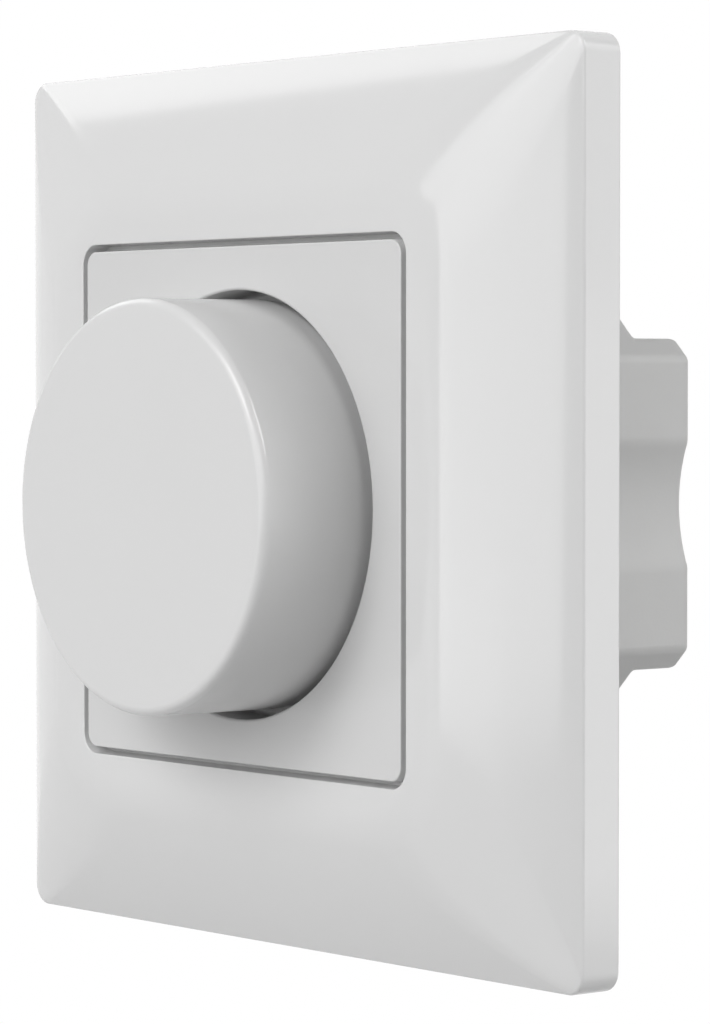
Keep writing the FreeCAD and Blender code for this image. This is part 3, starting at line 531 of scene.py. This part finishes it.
# Cover frame: a square moulding in white plastic with a soft gloss. Its front is crowned, so that the flat
# middle runs into slopes with soft mitres. It is hollow and ribbed behind, and the centre plate clamps it by
# a ledge.
frame_low, frame_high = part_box("cover_frame")
frame_half = frame_high.x
frame_front = frame_low.y
frame_back = frame_high.y
frame_side = 4.4 * mm
frame_wall = 2.2 * mm
frame_corner_r = 2.0 * mm
frame_inner_corner_r = 1.0 * mm
inner_flat_r = 4.8 * mm
inner_mitre_r = 3.0 * mm
frame_edge_r = 0.4 * mm
frame_back_r = 0.25 * mm
flat_corner_r = 8.0 * mm
frame_mitre_r = 15.0 * mm
opening_half = 25.4 * mm
opening_corner_r = 2.0 * mm
opening_edge_r = 0.12 * mm
opening_draft = 0.12 * mm
flat_half = 27.6 * mm
knee_r = 13.0 * mm
knee_angle = math.radians(18.0)
ledge_half = 23.4 * mm
ledge_corner_r = 1.6 * mm
ledge_y = frame_front + 2.2 * mm
collar_half = 27.4 * mm
collar_corner_r = 3.6 * mm
collar_back = ledge_y + 1.5 * mm
inner_first = math.radians(6.0)
rib_thick = 1.4 * mm
rib_place = 14.0 * mm
rib_back = -5.0 * mm
rib_sink = 0.1 * mm
rib_overlap = 0.7 * mm
side_steps = 28
corner_steps = 16
crown_steps = 30
edge_steps = 9
rib_steps = 8
trim_pale = (0.7, 0.7, 0.7, 1.0)
trim_deep = (0.685, 0.685, 0.685, 1.0)


def square_ring(half, corner_r, depth):
    """Points round a square with round corners, the same number on every ring."""
    straight = half - corner_r
    points = []
    for quarter in range(4):
        for step in range(side_steps):
            points.append((quarter, half, straight * (2 * step / side_steps - 1)))
        for step in range(corner_steps):
            angle = math.pi / 2 * step / corner_steps
            points.append((quarter, straight + corner_r * math.cos(angle),
                           straight + corner_r * math.sin(angle)))
    ring = []
    for quarter, x, z in points:
        cos = (1, 0, -1, 0)[quarter]
        sin = (0, 1, 0, -1)[quarter]
        ring.append(Vector((x * cos - z * sin, depth, x * sin + z * cos)))
    return ring


knee_half = flat_half + knee_r * math.sin(knee_angle)
knee_y = frame_front + knee_r * (1 - math.cos(knee_angle))
slope_run = frame_half - knee_half
slope_fall = frame_back - frame_side - knee_y
slope_turn = 2 * (math.atan2(slope_fall, slope_run) - knee_angle)
slope_r = math.hypot(slope_run, slope_fall) / (2 * math.sin(slope_turn / 2))
slope_half = knee_half - slope_r * math.sin(knee_angle)
slope_y = knee_y + slope_r * math.cos(knee_angle)


def crown_place(wall, angle):
    """Half width and depth of the crown one wall inside, where it leans by the angle."""
    if angle <= knee_angle:
        middle, depth, radius = flat_half, frame_front + knee_r, knee_r - wall
    else:
        middle, depth, radius = slope_half, slope_y, slope_r - wall
    return middle + radius * math.sin(angle), depth - radius * math.cos(angle)


def crown_rings(wall, first_corner_r, mitre_r, last_corner_r, first, last):
    """Rings over the crown between two angles, whose corners go from one radius to another by a third."""
    outer, _ = crown_place(wall, first)
    inner, _ = crown_place(wall, last)
    found = []
    for step in range(crown_steps + 1):
        half, depth = crown_place(wall, first + (last - first) * step / crown_steps)
        share = (half - outer) / (inner - outer)
        corner_r = (first_corner_r * (1 - share) ** 2 + 2 * mitre_r * share * (1 - share)
                    + last_corner_r * share ** 2)
        found.append(square_ring(half, corner_r, depth))
    return found


edge_angle = math.asin((frame_half - frame_edge_r - slope_half) / (slope_r - frame_edge_r))
edge_middle = frame_half - frame_edge_r
edge_y = slope_y - (slope_r - frame_edge_r) * math.cos(edge_angle)
rings = []
for sin, cos in quarter_round(3):
    drawn_in = frame_back_r * (1 - sin)
    rings.append(square_ring(frame_half - drawn_in, frame_corner_r - drawn_in,
                             frame_back - frame_back_r * (1 - cos)))
for step in range(edge_steps):
    angle = math.pi / 2 + (edge_angle - math.pi / 2) * step / edge_steps
    rings.append(square_ring(edge_middle + frame_edge_r * math.sin(angle), frame_corner_r,
                             edge_y - frame_edge_r * math.cos(angle)))
rings += crown_rings(0.0, frame_corner_r, frame_mitre_r, flat_corner_r, edge_angle, 0.0)
for sin, cos in quarter_round(4):
    drawn_out = opening_draft + opening_edge_r * (1 - sin)
    rings.append(square_ring(opening_half + drawn_out, opening_corner_r + drawn_out,
                             frame_front + opening_edge_r * (1 - cos)))
rings.append(square_ring(opening_half, opening_corner_r, ledge_y))
rings.append(square_ring(ledge_half, ledge_corner_r, ledge_y))
rings.append(square_ring(ledge_half, ledge_corner_r, collar_back))
rings.append(square_ring(collar_half, collar_corner_r, collar_back))
rings.append(square_ring(collar_half, collar_corner_r, frame_front + frame_wall))
inner_last = math.asin((frame_half - frame_wall - slope_half) / (slope_r - frame_wall))
rings += crown_rings(frame_wall, inner_flat_r, inner_mitre_r, frame_inner_corner_r, inner_first, inner_last)
rings.append(square_ring(frame_half - frame_wall, frame_inner_corner_r, frame_back))
cover = moulded("cover_frame_moulding", rings, loop=True)

rib_top = collar_back - rib_overlap
rib_outline = [(ledge_half + rib_sink, rib_back), (ledge_half + rib_sink, rib_top),
               (collar_half - past, rib_top), (collar_half - past, frame_front + frame_wall / 2)]
rib_lean = math.acos((slope_y - rib_back) / (slope_r - frame_wall / 2))
for step in range(rib_steps + 1):
    rib_outline.append(crown_place(frame_wall / 2, rib_lean * step / rib_steps))
ribs = []
for quarter in range(4):
    turn = Matrix.Rotation(math.pi / 2 * quarter, 3, "Y")
    for place in (-rib_place, rib_place):
        sides = (place - rib_thick / 2, place + rib_thick / 2)
        ribs.append(moulded("rib", [[turn @ Vector((x, y, z)) for x, y in rib_outline] for z in sides]))
combined(cover, joined("ribs", ribs), "UNION")
moulded_look(cover, angle=35)
trim_plastic = finished("trim_plastic", moulding_skin, relief=0.0008 * mm, values={
    "Pale": trim_pale, "Deep": trim_deep, "Cloud Scale": 45.0, "Grain Scale": 1800.0, "Smooth": 0.08,
    "Matt": 0.12})
cover.data.materials.append(trim_plastic)
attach(cover, "base")
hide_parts("cover_frame")

# Centre plate: a square moulding in white plastic, flush with the frame and held by a nut on the bushing's
# neck.
# Its colour is painted a touch greyer than the frame's, as shade round the knob. The knob turns in its round
# well, and two pegs behind the well's floor keep the plate from turning.
plate_low, plate_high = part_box("centre_plate")
plate_half = plate_high.x
plate_front = plate_low.y
plate_corner_r = 1.6 * mm
plate_edge_r = 0.14 * mm
plate_draft = 0.17 * mm
plate_back = plate_front + 2.2 * mm
well_r = 20.6 * mm
well_outer_r = 22.1 * mm
well_edge_r = 0.3 * mm
well_root_r = 0.5 * mm
well_floor = plate_front + 4.9 * mm
well_back = well_floor + 1.6 * mm
neck_hole_r = 5.2 * mm
peg_r = 1.2 * mm
peg_place = 11.0 * mm
peg_chamfer = 0.2 * mm
# The plate's two colours are the frame's white painted a touch darker, as shade round the knob.
plate_pale_painted_shade = (0.65, 0.65, 0.65, 1.0)
plate_deep_painted_shade = (0.635, 0.635, 0.635, 1.0)


def disc_ring(radius, depth):
    """Points round a circle, in the same directions as those round the plate."""
    ring = []
    for point in square_ring(plate_half, plate_corner_r, 0.0):
        ring.append(point.normalized() * radius + Vector((0.0, depth, 0.0)))
    return ring


rings = [disc_ring(neck_hole_r, well_floor)]
for sin, cos in quarter_round(4):
    rings.append(disc_ring(well_r - well_root_r + well_root_r * sin, well_floor - well_root_r * (1 - cos)))
for sin, cos in quarter_round(4):
    rings.append(disc_ring(well_r + well_edge_r * (1 - cos), plate_front + well_edge_r * (1 - sin)))
for sin, cos in quarter_round(4):
    drawn_in = plate_draft + plate_edge_r * (1 - sin)
    rings.append(square_ring(plate_half - drawn_in, plate_corner_r - drawn_in,
                             plate_front + plate_edge_r * (1 - cos)))
rings.append(square_ring(plate_half, plate_corner_r, plate_back))
rings.append(disc_ring(well_outer_r, plate_back))
rings.append(disc_ring(well_outer_r, well_back))
rings.append(disc_ring(neck_hole_r, well_back))
plate = moulded("centre_plate_moulding", rings, loop=True)
pegs = []
for x in (-peg_place, peg_place):
    pegs.append(turned("peg", [(peg_r, well_back - past), (peg_r, plate_high.y - peg_chamfer),
                               (peg_r - peg_chamfer, plate_high.y)], steps=32, place=(x, 0.0, 0.0)))
combined(plate, joined("pegs", pegs), "UNION")
moulded_look(plate, angle=35)
# The plate's material is the frame's white plastic with painted shade: its colours are darker to stand for
# the shade round the knob.
plate_plastic_painted_shade = finished("plate_plastic_painted_shade", moulding_skin, relief=0.0008 * mm, values={
    "Pale": plate_pale_painted_shade, "Deep": plate_deep_painted_shade, "Cloud Scale": 50.0, "Grain Scale": 1800.0, "Smooth": 0.14,
    "Matt": 0.2})
plate.data.materials.append(plate_plastic_painted_shade)
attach(plate, "base")
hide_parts("centre_plate")
nut_brass = finished("nut_brass", metal_skin, relief=0.002 * mm, values={
    "Bright": (0.74, 0.58, 0.28, 1.0), "Dull": (0.6, 0.45, 0.2, 1.0), "Streak": (1800.0, 300.0, 1800.0),
    "Smooth": 0.28, "Matt": 0.38}, metallic=1.0)
dressed(nut_brass, "plate_nut")
dressed(leaf_steel, "lock_washer")

# Knob: a plain round cup of white satin plastic with a small round at its front edge. A ribbed hub inside is
# pushed over the shaft's flat, where a leaf clip holds it, so that it turns and pushes the shaft.
knob_low, knob_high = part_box("knob")
knob_r = knob_high.x
knob_front = knob_low.y
knob_rim = knob_high.y
knob_edge_r = 0.9 * mm
knob_skirt = 2.0 * mm
knob_inside = knob_front + 2.4 * mm
knob_rim_r = 0.25 * mm
hub_r = 5.5 * mm
hub_back = -11.2 * mm
hub_bore_r = 3.05 * mm
knob_face_r = knob_r - 4 * knob_edge_r
spoke_count = 6
spoke_first = 30
knob_rib_thick = 1.2 * mm
knob_rib_back = knob_inside + 5.0 * mm
knob_pale = (0.7, 0.7, 0.7, 1.0)
knob_deep = (0.685, 0.685, 0.685, 1.0)
profile = [(hub_bore_r, knob_front), (knob_face_r, knob_front)]
for sin, cos in quarter_round(8):
    profile.append((knob_r - knob_edge_r * (1 - sin), knob_front + knob_edge_r * (1 - cos)))
for sin, cos in quarter_round(3):
    profile.append((knob_r - knob_rim_r * (1 - cos), knob_rim - knob_rim_r * (1 - sin)))
profile += [(knob_r - knob_skirt, knob_rim), (knob_r - knob_skirt, knob_inside), (hub_r, knob_inside),
            (hub_r, hub_back), (hub_bore_r, hub_back), (hub_bore_r, knob_inside)]
knob = turned("knob_cup", profile, steps=192)
spokes = []
for spoke in range(spoke_count):
    turn = Matrix.Rotation(math.radians(360 / spoke_count * spoke + spoke_first), 3, "Y")
    ends = (hub_r - past, knob_r - knob_skirt / 2)
    sides = (-knob_rib_thick / 2, knob_rib_thick / 2)
    outline = [(ends[0], sides[0]), (ends[1], sides[0]), (ends[1], sides[1]), (ends[0], sides[1])]
    spokes.append(moulded("spoke", [[turn @ Vector((x, depth, z)) for x, z in outline]
                                    for depth in (knob_inside - past, knob_rib_back)]))
combined(knob, joined("spokes", spokes), "UNION")
moulded_look(knob, angle=35)
knob_plastic = finished("knob_plastic", moulding_skin, relief=0.0008 * mm, values={
    "Pale": knob_pale, "Deep": knob_deep, "Cloud Scale": 60.0, "Grain Scale": 1800.0, "Smooth": 0.18,
    "Matt": 0.24})
knob.data.materials.append(knob_plastic)
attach(knob, "knob")
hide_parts("knob")
dressed(leaf_steel, "knob_clip")

# Studio: a pale paper floor well below the part, which hangs clear as on a wall, and surroundings that look
# white but give no light. Soft lamps give it all, each with its place, width, height and power. The
# camera stands to the right of the part, level with its middle.
floor_drop = 0.8
floor_reach = 3.0
floor_clear = 0.3
floor_fade = 0.5
floor_pale = (0.84, 0.84, 0.84, 1.0)
floor_deep = (0.8, 0.8, 0.8, 1.0)
white = (1.0, 1.0, 1.0, 1.0)
lamps = {
    "front_softbox": ((-0.125, -1.212, 0.435), 1.07, 1.23, 9.2),
    "high_key": ((0.089, -1.021, 0.8), 0.6, 0.6, 4.6),
    "high_left": ((-0.612, -0.945, 0.65), 0.14, 0.6, 0.5),
    "right_front": ((0.727, -1.0, 0.402), 0.6, 0.6, 3.2),
    "right_panel": ((0.895, 0.437, 0.836), 0.6, 0.6, 7.0),
    "rear_panel": ((0.99, 0.773, 0.337), 0.6, 1.16, 5.0),
    "left_panel": ((-1.089, -0.057, 0.708), 0.64, 0.5, 1.7),
    "low_fill": ((-0.412, -1.133, -0.487), 1.0, 0.9, 1.0),
    "low_right": ((1.088, 0.628, -0.337), 0.8, 0.8, 1.3),
}
view_from = Vector((310.09, -244.99, 11.58)) * mm
view_to = Vector((7.521, -1.932, -0.65)) * mm
focal_pixels = 4052.0
image_height = 1024.0


def seen_directly(tree):
    """Share of rays from the camera, or by way of a gloss or through something clear: one or nothing."""
    path = node(tree, "ShaderNodeLightPath")
    seen = node(tree, "ShaderNodeMath", operation="MAXIMUM")
    seen_all = node(tree, "ShaderNodeMath", operation="MAXIMUM")
    tree.links.new(path.outputs["Is Camera Ray"], seen.inputs[0])
    tree.links.new(path.outputs["Is Glossy Ray"], seen.inputs[1])
    tree.links.new(seen.outputs["Value"], seen_all.inputs[0])
    tree.links.new(path.outputs["Is Transmission Ray"], seen_all.inputs[1])
    return seen_all.outputs["Value"]


floor_mesh = bpy.data.meshes.new("floor")
shape = bmesh.new()
bmesh.ops.create_circle(shape, cap_ends=True, segments=96, radius=floor_reach)
bmesh.ops.translate(shape, verts=shape.verts, vec=(0.0, 0.0, -floor_drop))
shape.to_mesh(floor_mesh)
shape.free()
floor = bpy.data.objects.new("floor", floor_mesh)
bpy.context.scene.collection.objects.link(floor)
paper = bpy.data.materials.new("floor_paper")
paper.use_nodes = True
tree = paper.node_tree
shader = tree.nodes["Principled BSDF"]
shader.inputs["Roughness"].default_value = 0.9
where = node(tree, "ShaderNodeTexCoord").outputs["Object"]
fibre = node(tree, "ShaderNodeTexNoise", Scale=900.0, Detail=2.0)
tint = node(tree, "ShaderNodeValToRGB")
tint.color_ramp.elements[0].color = floor_deep
tint.color_ramp.elements[1].color = floor_pale
tree.links.new(where, fibre.inputs["Vector"])
tree.links.new(fibre.outputs["Fac"], tint.inputs["Fac"])
tree.links.new(tint.outputs["Color"], shader.inputs["Base Color"])
away = node(tree, "ShaderNodeVectorMath", operation="LENGTH")
fade = node(tree, "ShaderNodeMapRange", From_Min=floor_clear, From_Max=floor_clear + floor_fade,
            interpolation_type="SMOOTHSTEP")
whiter = node(tree, "ShaderNodeMath", operation="MULTIPLY")
glow = node(tree, "ShaderNodeEmission", Color=white, Strength=1.0)
mix = node(tree, "ShaderNodeMixShader")
tree.links.new(where, away.inputs[0])
tree.links.new(away.outputs["Value"], fade.inputs["Value"])
tree.links.new(seen_directly(tree), whiter.inputs[0])
tree.links.new(fade.outputs["Result"], whiter.inputs[1])
tree.links.new(whiter.outputs["Value"], mix.inputs[0])
tree.links.new(shader.outputs["BSDF"], mix.inputs[1])
tree.links.new(glow.outputs["Emission"], mix.inputs[2])
tree.links.new(mix.outputs["Shader"], tree.nodes["Material Output"].inputs["Surface"])
floor_mesh.materials.append(paper)

world = bpy.data.worlds.new("white_studio")
bpy.context.scene.world = world
world.use_nodes = True
tree = world.node_tree
tree.nodes.clear()
unlit = node(tree, "ShaderNodeBackground", Color=white, Strength=0.0)
backdrop = node(tree, "ShaderNodeBackground", Color=white, Strength=1.0)
mix = node(tree, "ShaderNodeMixShader")
output = node(tree, "ShaderNodeOutputWorld")
tree.links.new(seen_directly(tree), mix.inputs[0])
tree.links.new(unlit.outputs["Background"], mix.inputs[1])
tree.links.new(backdrop.outputs["Background"], mix.inputs[2])
tree.links.new(mix.outputs["Shader"], output.inputs["Surface"])

for name, (place, wide, high, power) in lamps.items():
    light = bpy.data.lights.new(name, "AREA")
    light.shape = "RECTANGLE"
    light.size = wide
    light.size_y = high
    light.energy = power
    lamp = bpy.data.objects.new(name, light)
    lamp.location = place
    lamp.rotation_euler = (-Vector(place)).to_track_quat("-Z", "Y").to_euler()
    bpy.context.scene.collection.objects.link(lamp)

lens = bpy.data.cameras.new("camera")
lens.sensor_width = 36.0
lens.lens = focal_pixels / image_height * lens.sensor_width
lens.clip_start = 0.01
camera = bpy.data.objects.new("camera", lens)
camera.location = view_from
camera.rotation_euler = (view_to - view_from).to_track_quat("-Z", "Y").to_euler()
bpy.context.scene.collection.objects.link(camera)
bpy.context.scene.camera = camera
bpy.context.scene.view_settings.view_transform = "Standard"
